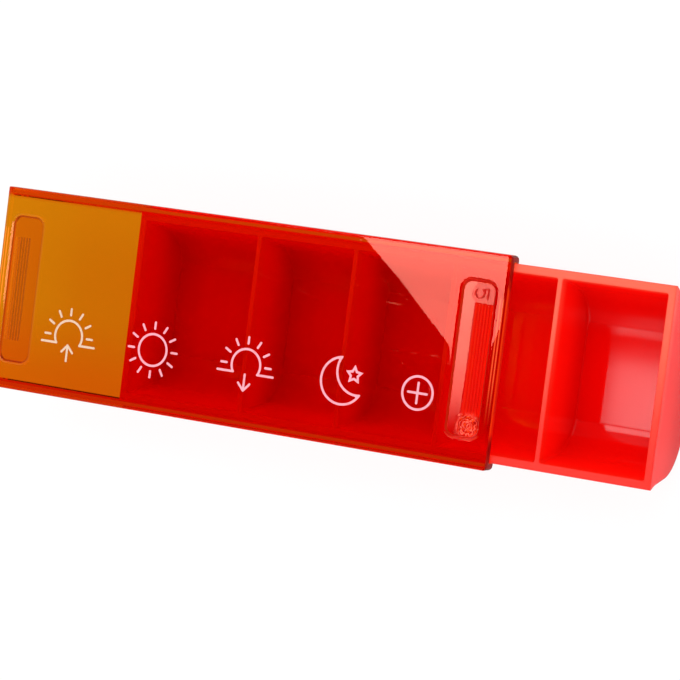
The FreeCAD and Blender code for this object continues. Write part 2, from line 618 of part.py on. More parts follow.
# The outline of a crescent between two circles, grown or shrunk by half a line's width.
def addCrescent(sketch, grow):
    outerRadius = number("sizes.moonRadius") + grow * number("sizes.lineWidth") / 2
    innerBend = number("sizes.moonRadius") - grow * number("sizes.lineWidth") / 2
    bite = FreeCAD.Vector(number("sizes.moonBiteX"), number("sizes.moonBiteY"), 0)
    axis = FreeCAD.Vector(0, 0, 1)
    along = (outerRadius ** 2 - innerBend ** 2 + bite.Length ** 2) / (2 * bite.Length)
    across = math.sqrt(outerRadius ** 2 - along ** 2)
    towards = math.atan2(bite.y, bite.x)
    outerTurn = math.atan2(across, along)
    innerTurn = math.atan2(across, along - bite.Length)
    outerCircle = Part.Circle(FreeCAD.Vector(), axis, outerRadius)
    innerCircle = Part.Circle(bite, axis, innerBend)
    after = towards + 2 * math.pi
    outer = sketch.addGeometry(Part.ArcOfCircle(outerCircle, towards + outerTurn, after - outerTurn))
    inner = sketch.addGeometry(Part.ArcOfCircle(innerCircle, towards + innerTurn, after - innerTurn))
    sketch.addConstraint(Sketcher.Constraint("Coincident", outer, 1, inner, 1))
    sketch.addConstraint(Sketcher.Constraint("Coincident", outer, 2, inner, 2))
    holdPoint(sketch, outer, 3, "0", "0")
    holdPoint(sketch, inner, 3, "sizes.moonBiteX", "sizes.moonBiteY")
    for arc, sign in ((outer, "+"), (inner, "-")):
        amount = "sizes.moonRadius %s %g * sizes.lineWidth / 2" % (sign, grow)
        index = sketch.addConstraint(Sketcher.Constraint("Radius", arc, number(amount)))
        sketch.setExpression("Constraints[%d]" % index, amount)


# A five-pointed star, its outline moved in from the outer edge of the line.
def addStar(sketch, inset):
    rise = "(sizes.starRadius - sizes.starWaist * cos(36 deg))"
    side = "sqrt(%s ^ 2 + (sizes.starWaist * sin(36 deg)) ^ 2)" % rise
    reach = "(sizes.starRadius * sizes.starWaist * sin(36 deg) / %s)" % side
    share = "(1 - %s / %s)" % (inset, reach)
    corners = []
    for index in range(10):
        radius = "sizes.starWaist" if index % 2 else "sizes.starRadius"
        angle = 90 + 36 * index
        corners.append(("sizes.starX + %s * %s * cos(%d deg)" % (share, radius, angle),
                        "sizes.starY + %s * %s * sin(%d deg)" % (share, radius, angle)))
    addOutline(sketch, corners)


def makeMoonAndStar(name, x):
    mark = addPrint(name, x)
    outside = addSketch(mark, name + "MoonSketch", "XY_Plane")
    addCrescent(outside, 1)
    addPad(mark, outside, "sizes.inkThick")
    inside = addSketch(mark, name + "MoonInsideSketch", "XY_Plane")
    addCrescent(inside, -1)
    addPocket(mark, inside, "2 * sizes.inkThick", symmetric=True)
    addFillet(mark, name + "Horns", "sizes.hornRound",
              lambda edge: edge.BoundBox.ZLength > number("sizes.inkThick") / 2
              and edge.BoundBox.DiagonalLength < 2 * number("sizes.inkThick")
              and edge.CenterOfMass.Length > number("sizes.moonRadius") * 0.9)
    star = addSketch(mark, name + "StarSketch", "XY_Plane")
    addStar(star, "0")
    addPad(mark, star, "sizes.inkThick")
    starInside = addSketch(mark, name + "StarInsideSketch", "XY_Plane")
    addStar(starInside, "sizes.lineWidth")
    addPocket(mark, starInside, "2 * sizes.inkThick", symmetric=True)
    return mark


def save(bodies):
    for item in document.Objects:
        if "Invalid" in item.State or "Error" in item.State:
            raise RuntimeError("%s failed: %s" % (item.Name, item.State))
    for body in bodies:
        if body.Shape.isNull() or not body.Shape.isValid():
            raise RuntimeError("%s has no valid shape" % body.Label)
    os.makedirs("parts", exist_ok=True)
    for body in bodies:
        body.Shape.exportStep("parts/%s.step" % body.Label)
        box = body.Shape.BoundBox
        print("%s: %d solids, %.2f mm3, x %.2f to %.2f, y %.2f to %.2f, z %.2f to %.2f" % (
            body.Label, len(body.Shape.Solids), body.Shape.Volume,
            box.XMin, box.XMax, box.YMin, box.YMax, box.ZMin, box.ZMax))


# A mark stands over its compartment while the box is shut
roomMiddles = ["((%s + %s) / 2)" % bounds for bounds in roomBounds]
gripStart = "(%s - sizes.gripLength)" % gripEnd
firstMark = "((%s - %s) / 2 + sizes.endPrintShift + sizes.endPrintInward)" % (roomBounds[0][1], gripStart)
lastMark = "((%s + %s) / 2 + sizes.endPrintShift - sizes.endPrintInward)" % (roomBounds[4][0], gripStart)
pieces = [
    makeTray(),
    makeCover(),
    makeHalfSun("sunrise_print", firstMark, rising=True),
    makeSun("sun_print", roomMiddles[1] + " + sizes.printShift"),
    makeHalfSun("sunset_print", roomMiddles[2] + " + sizes.printShift", rising=False),
    makeMoonAndStar("moon_star_print", roomMiddles[3] + " + sizes.printShift"),
    makePlus("plus_print", lastMark),
]
document.recompute()
save(pieces)
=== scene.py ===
import bmesh
import bpy
from mathutils import Matrix, Vector

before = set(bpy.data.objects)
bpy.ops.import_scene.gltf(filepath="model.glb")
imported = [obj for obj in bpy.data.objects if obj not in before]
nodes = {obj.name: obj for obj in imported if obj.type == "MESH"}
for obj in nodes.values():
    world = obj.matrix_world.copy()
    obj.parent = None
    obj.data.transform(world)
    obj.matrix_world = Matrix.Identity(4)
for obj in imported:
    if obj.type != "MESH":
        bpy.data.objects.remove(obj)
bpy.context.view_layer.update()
scene = bpy.context.scene
scene.view_settings.view_transform = "Standard"
mm = 0.001
black = (0.0, 0.0, 0.0, 1.0)
white = (1.0, 1.0, 1.0, 1.0)

# The camera stands above the open end of the box. Its place is in millimetres, near and far in metres
cameraLook = {
    "place": (249.67, 36.2, 561.74),
    "forward": (-0.43085, -0.06051, -0.90039),
    "up": (-0.13887, 0.99031, -0.00011),
    "lens": 154.06, "sensor": 36, "near": 0.01, "far": 50,
}


def makeCamera(look):
    data = bpy.data.cameras.new("benchCamera")
    data.sensor_width = look["sensor"]
    data.lens = look["lens"]
    data.clip_start = look["near"]
    data.clip_end = look["far"]
    forward = Vector(look["forward"]).normalized()
    side = forward.cross(Vector(look["up"])).normalized()
    up = side.cross(forward)
    turn = Matrix((side, up, -forward)).transposed().to_4x4()
    camera = bpy.data.objects.new("benchCamera", data)
    camera.matrix_world = Matrix.Translation(Vector(look["place"]) * mm) @ turn
    scene.collection.objects.link(camera)
    scene.camera = camera


def newMaterial(name):
    material = bpy.data.materials.new(name)
    material.use_nodes = True
    material.node_tree.nodes.clear()
    return material, material.node_tree


def addNode(tree, kind, **settings):
    node = tree.nodes.new("ShaderNode" + kind)
    for name, value in settings.items():
        setattr(node, name, value)
    return node


def setInputs(node, values):
    for name, value in values.items():
        node.inputs[name].default_value = value


# Links a chain of (output, input) pairs
def wire(tree, *pairs):
    for start, end in pairs:
        tree.links.new(start, end)


# Gives a socket a plain value, or a link from another socket
def feed(tree, socket, value):
    if isinstance(value, (int, float, tuple)):
        socket.default_value = value
    else:
        tree.links.new(value, socket)


def maths(tree, operation, *values, clamp=False):
    node = addNode(tree, "Math", operation=operation, use_clamp=clamp)
    for socket, value in zip(node.inputs, values):
        feed(tree, socket, value)
    return node.outputs[0]


# Joins any number of values with one operation
def joinedBy(operation):
    def join(tree, first, *others):
        for other in others:
            first = maths(tree, operation, first, other)
        return first
    return join


plus, minus, times, most = [joinedBy(name) for name in ("ADD", "SUBTRACT", "MULTIPLY", "MAXIMUM")]


def blendColours(tree, factor, first, second):
    node = addNode(tree, "Mix", data_type="RGBA")
    for title, value in (("Factor", factor), ("A", first), ("B", second)):
        feed(tree, node.inputs[title], value)
    return node.outputs["Result"]


def ramp(tree, value, low, high, start=0.0, end=1.0):
    node = addNode(tree, "MapRange", interpolation_type="SMOOTHSTEP")
    setInputs(node, {"From Min": low, "From Max": high, "To Min": start, "To Max": end})
    tree.links.new(value, node.inputs["Value"])
    return node.outputs["Result"]


# Full below the low value, nothing above the high one
def fall(tree, value, low, high, full=1.0):
    return ramp(tree, value, low, high, full, 0.0)


# 1 around the middle, nothing past the half width. The core is the share that stays at 1
def pulse(tree, value, middle, half, core=0.3):
    away = maths(tree, "ABSOLUTE", minus(tree, value, middle))
    return fall(tree, away, core * half, half)


def objectPlace(tree):
    return addNode(tree, "TexCoord").outputs["Object"]


def split(tree, vector):
    axes = addNode(tree, "SeparateXYZ")
    tree.links.new(vector, axes.inputs[0])
    return axes.outputs


def makeBump(tree, height):
    bump = addNode(tree, "Bump")
    bump.inputs["Distance"].default_value = 1.0
    tree.links.new(height, bump.inputs["Height"])
    return bump


def showSurface(tree, shaderOutput):
    out = addNode(tree, "OutputMaterial")
    tree.links.new(shaderOutput, out.inputs["Surface"])
    return out


def startGroup(name, inputs, outputs):
    group = bpy.data.node_groups.new(name, "ShaderNodeTree")
    for title, value in inputs.items():
        socket = group.interface.new_socket(title, in_out="INPUT", socket_type="NodeSocketFloat")
        socket.default_value = value
    for title, kind in outputs.items():
        group.interface.new_socket(title, in_out="OUTPUT", socket_type="NodeSocket" + kind)
    return group, group.nodes.new("NodeGroupInput").outputs, group.nodes.new("NodeGroupOutput").inputs


def useGroup(tree, group, values):
    node = tree.nodes.new("ShaderNodeGroup")
    node.node_tree = group
    setInputs(node, values)
    return node.outputs


# Slow waves and fine grain of a moulded face. Height is in metres, Mottle from 0 to 1
def makeMouldSkin():
    group, inside, result = startGroup("mouldSkin", {
        "Wave Size": 0.02, "Wave Height": 4e-6, "Grain Size": 0.0004, "Grain Height": 4e-7,
    }, {"Height": "Float", "Mottle": "Float"})
    place = objectPlace(group)
    waves = addNode(group, "TexNoise")
    setInputs(waves, {"Detail": 2.0, "Roughness": 0.45})
    grain = addNode(group, "TexNoise")
    setInputs(grain, {"Detail": 3.0, "Roughness": 0.6})
    wire(group, (place, waves.inputs["Vector"]), (place, grain.inputs["Vector"]),
         (maths(group, "DIVIDE", 1.0, inside["Wave Size"]), waves.inputs["Scale"]),
         (maths(group, "DIVIDE", 1.0, inside["Grain Size"]), grain.inputs["Scale"]))
    low = times(group, waves.outputs["Fac"], inside["Wave Height"])
    fine = times(group, grain.outputs["Fac"], inside["Grain Height"])
    both = plus(group, waves.outputs["Fac"], grain.outputs["Fac"])
    wire(group, (plus(group, low, fine), result["Height"]),
         (times(group, both, 0.5), result["Mottle"]))
    return group


# Distance in metres to a rounded outline, seen from above and less than 0 inside it.
# Both ends of the cover share one outline, because x is folded about the fold line
def makeOutline():
    group, inside, result = startGroup("outline", {
        "Fold": 0.0, "Middle X": 0.0, "Middle Y": 0.0, "Half X": 0.01, "Half Y": 0.01, "Corner": 0.002,
    }, {"Distance": "Float"})
    x, y = split(group, objectPlace(group))[:2]
    folded = maths(group, "ABSOLUTE", minus(group, x, inside["Fold"]))
    gaps = []
    for value, middle, half in ((folded, "Middle X", "Half X"), (y, "Middle Y", "Half Y")):
        away = maths(group, "ABSOLUTE", minus(group, value, inside[middle]))
        gaps.append(minus(group, away, minus(group, inside[half], inside["Corner"])))
    outside = [maths(group, "POWER", most(group, gap, 0.0), 2.0) for gap in gaps]
    bend = maths(group, "SQRT", plus(group, *outside))
    deep = maths(group, "MINIMUM", most(group, *gaps), 0.0)
    wire(group, (minus(group, plus(group, bend, deep), inside["Corner"]), result["Distance"]))
    return group


# Sparse round specks of dust or dents
def makeSpecks():
    group, inside, result = startGroup("specks", {
        "Spacing": 0.006, "Size": 0.00012, "Share": 0.3,
    }, {"Mask": "Float"})
    cells = addNode(group, "TexVoronoi")
    cells.inputs["Randomness"].default_value = 1.0
    wire(group, (objectPlace(group), cells.inputs["Vector"]),
         (maths(group, "DIVIDE", 1.0, inside["Spacing"]), cells.inputs["Scale"]))
    near = times(group, cells.outputs["Distance"], inside["Spacing"])
    dot = maths(group, "DIVIDE", minus(group, inside["Size"], near), inside["Size"], clamp=True)
    pick = addNode(group, "SeparateColor")
    wire(group, (cells.outputs["Color"], pick.inputs[0]))
    kept = maths(group, "LESS_THAN", pick.outputs[0], inside["Share"])
    wire(group, (times(group, dot, kept), result["Mask"]))
    return group


hairlineLook = {"stretch": (0.12, 1.0, 1.0), "width": 0.012, "gapScale": 240}


# Hairline scratches, all roughly along one direction
def makeHairlines(look):
    group, inside, result = startGroup("hairlines", {
        "Spacing": 0.004, "Turn": 0.3, "Share": 0.4,
    }, {"Mask": "Float"})
    place = objectPlace(group)
    turned = addNode(group, "VectorRotate", rotation_type="Z_AXIS")
    wire(group, (place, turned.inputs["Vector"]), (inside["Turn"], turned.inputs["Angle"]))
    stretch = addNode(group, "VectorMath", operation="MULTIPLY")
    stretch.inputs[1].default_value = look["stretch"]
    wire(group, (turned.outputs[0], stretch.inputs[0]))
    cells = addNode(group, "TexVoronoi", feature="DISTANCE_TO_EDGE")
    wire(group, (stretch.outputs[0], cells.inputs["Vector"]),
         (maths(group, "DIVIDE", 1.0, inside["Spacing"]), cells.inputs["Scale"]))
    line = fall(group, cells.outputs["Distance"], 0.0, look["width"])
    gaps = addNode(group, "TexNoise")
    gaps.inputs["Scale"].default_value = look["gapScale"]
    wire(group, (place, gaps.inputs["Vector"]))
    kept = maths(group, "LESS_THAN", gaps.outputs["Fac"], inside["Share"])
    wire(group, (times(group, line, kept), result["Mask"]))
    return group


# Normals that turn softly over edges, within the given distance
def makeSoftEdges():
    group, inside, result = startGroup("softEdges", {
        "Reach": 0.0004,
    }, {"Upwards": "Float", "Normal": "Vector"})
    soft = addNode(group, "Bevel", samples=6)
    wire(group, (inside["Reach"], soft.inputs["Radius"]), (soft.outputs[0], result["Normal"]),
         (split(group, soft.outputs[0])[2], result["Upwards"]))
    return group


groups = {
    "skin": makeMouldSkin(), "outline": makeOutline(), "specks": makeSpecks(),
    "hairlines": makeHairlines(hairlineLook), "softEdges": makeSoftEdges(),
}


# Panels of light and two dark cards hang over the box, in metres. A panel fades in along Y,
# "lift" adds light towards its far side, and "through" is its share seen through the cover
panels = {
    "softbox": {
        "corners": ((-0.80, 0.035), (-0.707, -0.020), (-0.674, -0.047), (-0.626, -0.091),
                    (-0.620, -0.126), (-0.592, -0.126), (-0.592, -0.088), (-0.585, -0.065),
                    (-0.574, -0.030), (-0.574, 0.20), (-0.80, 0.20)),
        "height": 1.5, "strength": 8.2, "fade": (-0.124, -0.082), "lift": (-0.05, -0.02, 0.3),
    },
    "lowBox": {
        "corners": ((-0.581, -0.088), (-0.581, -0.143), (-0.560, -0.143), (-0.560, -0.088)),
        "height": 1.502, "strength": 3.0, "fade": (-0.145, -0.120), "through": 0.55,
    },
    "stripBox": {
        "corners": ((-0.508, -0.085), (-0.508, -0.22), (-0.36, -0.22), (-0.36, -0.085)),
        "height": 1.501, "strength": 3.5, "fade": (-0.30, -0.25),
    },
    "bendBox": {
        "corners": ((-0.60, 0.70), (-0.67, 1.22), (-0.45, 1.22), (-0.42, 0.70)),
        "height": 1.503, "strength": 3.3, "fade": (0.72, 0.78),
    },
    "farBox": {
        "corners": ((-1.1, 0.55), (0.9, 0.55), (0.9, 1.7), (-1.1, 1.7)),
        "height": 1.5, "strength": 2.0, "fade": (0.40, 0.50), "mirrored": False,
    },
    "nearFill": {
        "corners": ((-1.1, -1.7), (0.9, -1.7), (0.9, -0.55), (-1.1, -0.55)),
        "height": 1.5, "strength": 1.6, "fade": (-2.0, -1.9), "mirrored": False,
    },
    "darkCard": {
        "corners": ((-1.3, -0.45), (-0.2, -0.45), (-0.2, 0.4), (-1.3, 0.4)),
        "height": 1.51, "strength": 0, "fade": (-1, -0.9),
    },
    "sideCard": {
        "corners": ((-0.2, -0.45), (1.6, -0.45), (1.6, 0.4), (-0.2, 0.4)),
        "height": 1.51, "strength": 0, "fade": (-1, -0.9), "shading": False,
    },
}
throughCover = 0.15


def makePanel(name, look):
    mesh = bpy.data.meshes.new(name)
    form = bmesh.new()
    form.faces.new([form.verts.new((x, y, look["height"])) for x, y in look["corners"]])
    form.to_mesh(mesh)
    form.free()
    material, tree = newMaterial(name)
    glow = addNode(tree, "Emission")
    y = split(tree, objectPlace(tree))[1]
    low, high, extra = look.get("lift", (0.0, 1.0, 0.0))
    full = times(tree, ramp(tree, y, *look["fade"], 0.0, look["strength"]),
                 ramp(tree, y, low, high, 1.0, 1.0 + extra))
    passing = addNode(tree, "LightPath").outputs["Is Transmission Ray"]
    less = times(tree, passing, 1 - look.get("through", throughCover))
    wire(tree, (times(tree, full, minus(tree, 1.0, less)), glow.inputs["Strength"]))
    showSurface(tree, glow.outputs[0])
    mesh.materials.append(material)
    obj = bpy.data.objects.new(name, mesh)
    scene.collection.objects.link(obj)
    obj.visible_camera = False
    obj.visible_glossy = look.get("mirrored", True)
    obj.visible_diffuse = obj.visible_shadow = look.get("shading", True)


worldLook = {"level": 1.0, "mirrored": 0.3}


# White all round. It is dimmer in plain reflections, but not in light that crosses the cover
def makeWorld(look):
    world = bpy.data.worlds.new("studio")
    world.use_nodes = True
    tree = world.node_tree
    tree.nodes.clear()
    path = addNode(tree, "LightPath").outputs
    light = addNode(tree, "Background")
    light.inputs["Color"].default_value = white
    mirrored = times(tree, path["Is Glossy Ray"], minus(tree, 1.0, path["Is Transmission Ray"]))
    less = times(tree, mirrored, look["level"] - look["mirrored"])
    wire(tree, (minus(tree, look["level"], less), light.inputs["Strength"]))
    seen = addNode(tree, "Background")
    seen.inputs["Color"].default_value = white
    mix = addNode(tree, "MixShader")
    wire(tree, (path["Is Camera Ray"], mix.inputs["Fac"]),
         (light.outputs[0], mix.inputs[1]), (seen.outputs[0], mix.inputs[2]),
         (mix.outputs[0], addNode(tree, "OutputWorld").inputs["Surface"]))
    scene.world = world


floorLook = {
    "paper": (0.92, 0.92, 0.92, 1), "mirrored": (0.5, 0.5, 0.5, 1), "glow": 1.03,
    "seen": 0.86, "throughPlastic": 0.42, "close": 6 * mm,
    "height": -0.1 * mm, "size": 6,
}


# White paper: nearly plain white to the camera and close under the box, with a soft shadow,
# and less bright through the cover
def makeFloor(look):
    material, tree = newMaterial("paperFloor")
    path = addNode(tree, "LightPath").outputs
    paper = addNode(tree, "BsdfDiffuse")
    glow = addNode(tree, "Emission")
    glow.inputs["Strength"].default_value = look["glow"]
    tone = blendColours(tree, path["Is Glossy Ray"], look["paper"], look["mirrored"])
    close = maths(tree, "LESS_THAN", path["Ray Length"], look["close"])
    bright = most(tree, times(tree, path["Is Camera Ray"], look["seen"]),
                  times(tree, path["Is Diffuse Ray"], close, look["seen"]),
                  times(tree, path["Is Transmission Ray"], look["throughPlastic"]))
    mix = addNode(tree, "MixShader")
    under = addNode(tree, "MixShader")  # clear from below, so that the tray's bottom can be seen
    wire(tree, (tone, paper.inputs["Color"]), (bright, mix.inputs["Fac"]),
         (paper.outputs[0], mix.inputs[1]), (glow.outputs[0], mix.inputs[2]),
         (addNode(tree, "NewGeometry").outputs["Backfacing"], under.inputs["Fac"]),
         (mix.outputs[0], under.inputs[1]),
         (addNode(tree, "BsdfTransparent").outputs[0], under.inputs[2]))
    showSurface(tree, under.outputs[0])
    bpy.ops.mesh.primitive_plane_add(size=look["size"], location=(0, 0, look["height"]))
    floor = bpy.context.object
    floor.name = "paperFloor"
    floor.data.materials.append(material)


redLook = {
    # From the compartments' floor up the walls, darker low down as painted shade, then the rim from the near
    # side to the far one
    "deep": (0.83, 0.0006, 0.0005, 1), "light": (0.99, 0.0050, 0.0015, 1), "tone": (1.5 * mm, 12 * mm),
    # Painted sheen: the rim's paler colours, the far side paler than the near one, also taken up the top of
    # the walls
    "rimSheenFar": (0.98, 0.125, 0.065, 1), "rimSheenNear": (0.86, 0.017, 0.006, 1), "rimSpan": 17 * mm,
    "rimHeight": 17.72 * mm, "rimBand": 0.7 * mm, "paintedSheen": 3.2 * mm, "paintedSheenShare": 0.5,
    "upwards": (0.15, 0.95), "downwards": (-0.25, -0.05), "edgeReach": 0.55 * mm,
    "gloss": 0.06, "glossSpread": 0.03, "rimGloss": 0.42, "outsideGloss": 0.16,
    "bend": (7 * mm, 10 * mm), "bendGloss": 0.2,
    # Painted light: a glow near the rim and up the walls, though the plastic is no lamp
    "glow": (0.08, 0.0012, 0.0008, 1),
    "wallGlow": (0.09, 0.0004, 0.0002, 1), "wallLit": (5 * mm, 16 * mm),
    "skin": {"Wave Size": 0.018, "Wave Height": 2.5e-6, "Grain Size": 0.0003, "Grain Height": 3e-7},
    "specks": {"Spacing": 0.009, "Size": 0.00013, "Share": 0.25}, "speckHeight": 4e-6,
    "mottle": 0.12,
}


# Opaque red plastic, polished in the compartments and satin on the rim, with painted shade low in the
# compartments, a painted sheen on the rim and a painted glow
def makeRedPlastic(look):
    material, tree = newMaterial("redPlastic")
    shader = addNode(tree, "BsdfPrincipled")
    setInputs(shader, {"IOR": 1.5, "Emission Strength": 1.0})
    y, z = split(tree, objectPlace(tree))[1:]
    facing = split(tree, addNode(tree, "NewGeometry").outputs["Normal"])
    skin = useGroup(tree, groups["skin"], look["skin"])
    edges = useGroup(tree, groups["softEdges"], {"Reach": look["edgeReach"]})
    specks = useGroup(tree, groups["specks"], look["specks"])["Mask"]
    rimHeight = look["rimHeight"]
    top = times(tree, ramp(tree, z, rimHeight - look["rimBand"], rimHeight),
                ramp(tree, edges["Upwards"], *look["upwards"]))
    down = fall(tree, facing[2], *look["downwards"])

    # Painted shade: darker red low in the compartments, lighter up the walls, with a random mottle
    tone = plus(tree, ramp(tree, z, *look["tone"]), times(tree, skin["Mottle"], look["mottle"]))
    colour = blendColours(tree, tone, look["deep"], look["light"])
    # Painted sheen: the rim and the top of the walls paler, the far side paler than the near one
    across = ramp(tree, y, -look["rimSpan"], look["rimSpan"])
    rimSheen = blendColours(tree, across, look["rimSheenNear"], look["rimSheenFar"])
    paintedSheen = most(tree, top, ramp(tree, z, rimHeight - look["paintedSheen"], rimHeight, 0.0, look["paintedSheenShare"]))
    colour = blendColours(tree, paintedSheen, colour, rimSheen)
    # Painted light: a glow up the walls and on the rim
    glow = blendColours(tree, ramp(tree, z, *look["wallLit"]), black, look["wallGlow"])
    glow = blendColours(tree, paintedSheen, glow, look["glow"])

    spread = look["glossSpread"]
    gloss = most(tree, plus(tree, times(tree, skin["Mottle"], spread), look["gloss"] - spread / 2),
                 times(tree, down, look["outsideGloss"]), times(tree, top, look["rimGloss"]),
                 ramp(tree, y, *look["bend"], 0.0, look["bendGloss"]))
    bump = makeBump(tree, plus(tree, skin["Height"], times(tree, specks, look["speckHeight"])))
    wire(tree, (colour, shader.inputs["Base Color"]), (gloss, shader.inputs["Roughness"]),
         (glow, shader.inputs["Emission Color"]), (edges["Normal"], bump.inputs["Normal"]),
         (bump.outputs[0], shader.inputs["Normal"]))
    showSurface(tree, shader.outputs[0])
    return material


orangeLook = {
    # Plate and rails, from the near side to the far one
    "plateFar": (0.985, 0.34, 0.005, 1), "plateNear": (0.985, 0.20, 0.003, 1), "turn": (-20 * mm, -1 * mm),
    "railFar": (0.95, 0.10, 0.003, 1), "railNear": (0.86, 0.05, 0.002, 1),
    "railAt": (19.4 * mm, 20.9 * mm), "railTurn": (-1 * mm, 1 * mm),
    # Painted shade: redder in the recess
    "recessShade": (0.92, 0.08, 0.002, 1), "recessShare": 0.5, "recessEdge": (-0.2 * mm, 0.0),
    # Painted shade: a dark line in the recess's wall, the figure and the ridges' slopes, and darker, redder
    # end faces
    "line": (0.42, 0.03, 0.001, 1), "ridgeShade": 0.4, "endFaceShade": (0.85, 0.02, 0.006, 1),
    "sheen": (1.0, 0.32, 0.25, 1), "shade": (1.0, 0.22, 0.02, 1),
    "soakColour": (0.967, 0.667, 0.0, 1), "soakDensity": 300,
    # Where the marks of the mould lie. Their X is counted from the fold line
    "fold": -34 * mm, "end": 60.2 * mm, "upper": (18.6 * mm, 19.0 * mm),
    "floor": 19.25 * mm, "floorHalf": 0.1 * mm, "edge": (-0.1 * mm, 0.1 * mm),
    "recess": {"Middle X": 53.85 * mm, "Half X": 3.7 * mm, "Half Y": 16.0 * mm, "Corner": 2.0 * mm},
    "wallLine": (-0.12 * mm, 0.3 * mm), "lipLine": (0.27 * mm, 0.4 * mm), "lipFrom": (14.5 * mm, 15.5 * mm),
    "ridges": {"Middle X": 55.18 * mm, "Half X": 2.2 * mm, "Half Y": 11.5 * mm, "Corner": 0.2 * mm},
    "ridgeTilt": -0.034, "ridgeSlope": (0.75, 0.60), "ridgeFrom": (-0.6 * mm, -0.4 * mm),
    "strip": {"Middle X": 51.8 * mm, "Half X": 1.35 * mm, "Half Y": 15.7 * mm, "Corner": 0.2 * mm},
    "stripTilt": 0.011,
    "pin": {"Middle X": 54.35 * mm, "Middle Y": 13.5 * mm,
            "Half X": 2.1 * mm, "Half Y": 2.1 * mm, "Corner": 2.1 * mm},
    "figureEdge": (-0.15 * mm, 0.0), "figureRise": (19.29 * mm, 19.39 * mm),
    "gate": {"Middle X": 54.7 * mm, "Middle Y": -13.5 * mm,
             "Half X": 2.6 * mm, "Half Y": 2.6 * mm, "Corner": 2.6 * mm},
    "gateEdge": (-0.9 * mm, 0.6 * mm), "gatePlace": (20.9 * mm, -13.7 * mm, 0),
    "swirl": {"Scale": 450.0, "Distortion": 14.0, "Detail": 3.0,
              "Detail Scale": 1.8, "Detail Roughness": 0.6},
    "endFacing": (0.86, 0.92), "ribFacing": (0.85, 0.95),
    "ribTop": (18.1 * mm, 18.2 * mm), "ribSide": (20.7 * mm, 20.9 * mm),
    # How dull each mark is
    "dull": {"specks": 0.5, "lines": 0.12, "wall": 0.35, "figure": 0.5, "ends": 0.3, "ridged": 0.12,
             "lip": 0.3, "swirl": 0.3},
    # Painted light: glows at the ends and marks, where no lamp is, and painted highlights as lines near the
    # ends and on the strip
    "endGlow": (0.5, 0.10, 0.028, 1), "endLines": ((1.40 * mm, 0.2 * mm), (0.76 * mm, 0.19 * mm)),
    "glowFrom": (-14 * mm, -1 * mm), "glowTo": (12.5 * mm, 13.5 * mm),
    "endShine": (0.11, 0.0008, 0.002, 1), "wallShine": (0.15, 0.002, 0.001, 1),
    "figureShine": (0.32, 0.012, 0.012, 1), "ridgeShine": (0.22, 0.004, 0.002, 1),
    "stripShine": (0.04, 0.05, 0.035, 1), "stripLit": (-6 * mm, 2 * mm),
    "railShine": (0.08, 0.006, 0.001, 1),
    "strokeShine": (0.85, 0.16, 0.12, 1), "strokes": (0.72, 0.98, 0.0, 0.8),
    "skin": {"Wave Size": 0.03, "Wave Height": 3e-6, "Grain Size": 0.0009, "Grain Height": 1e-7},
    "specks": {"Spacing": 0.0065, "Size": 0.00014, "Share": 0.35}, "speckHeight": 1.2e-5,
    "hairlines": {"Spacing": 0.006, "Turn": 0.45, "Share": 0.42}, "swirlHeight": 4e-5,
}
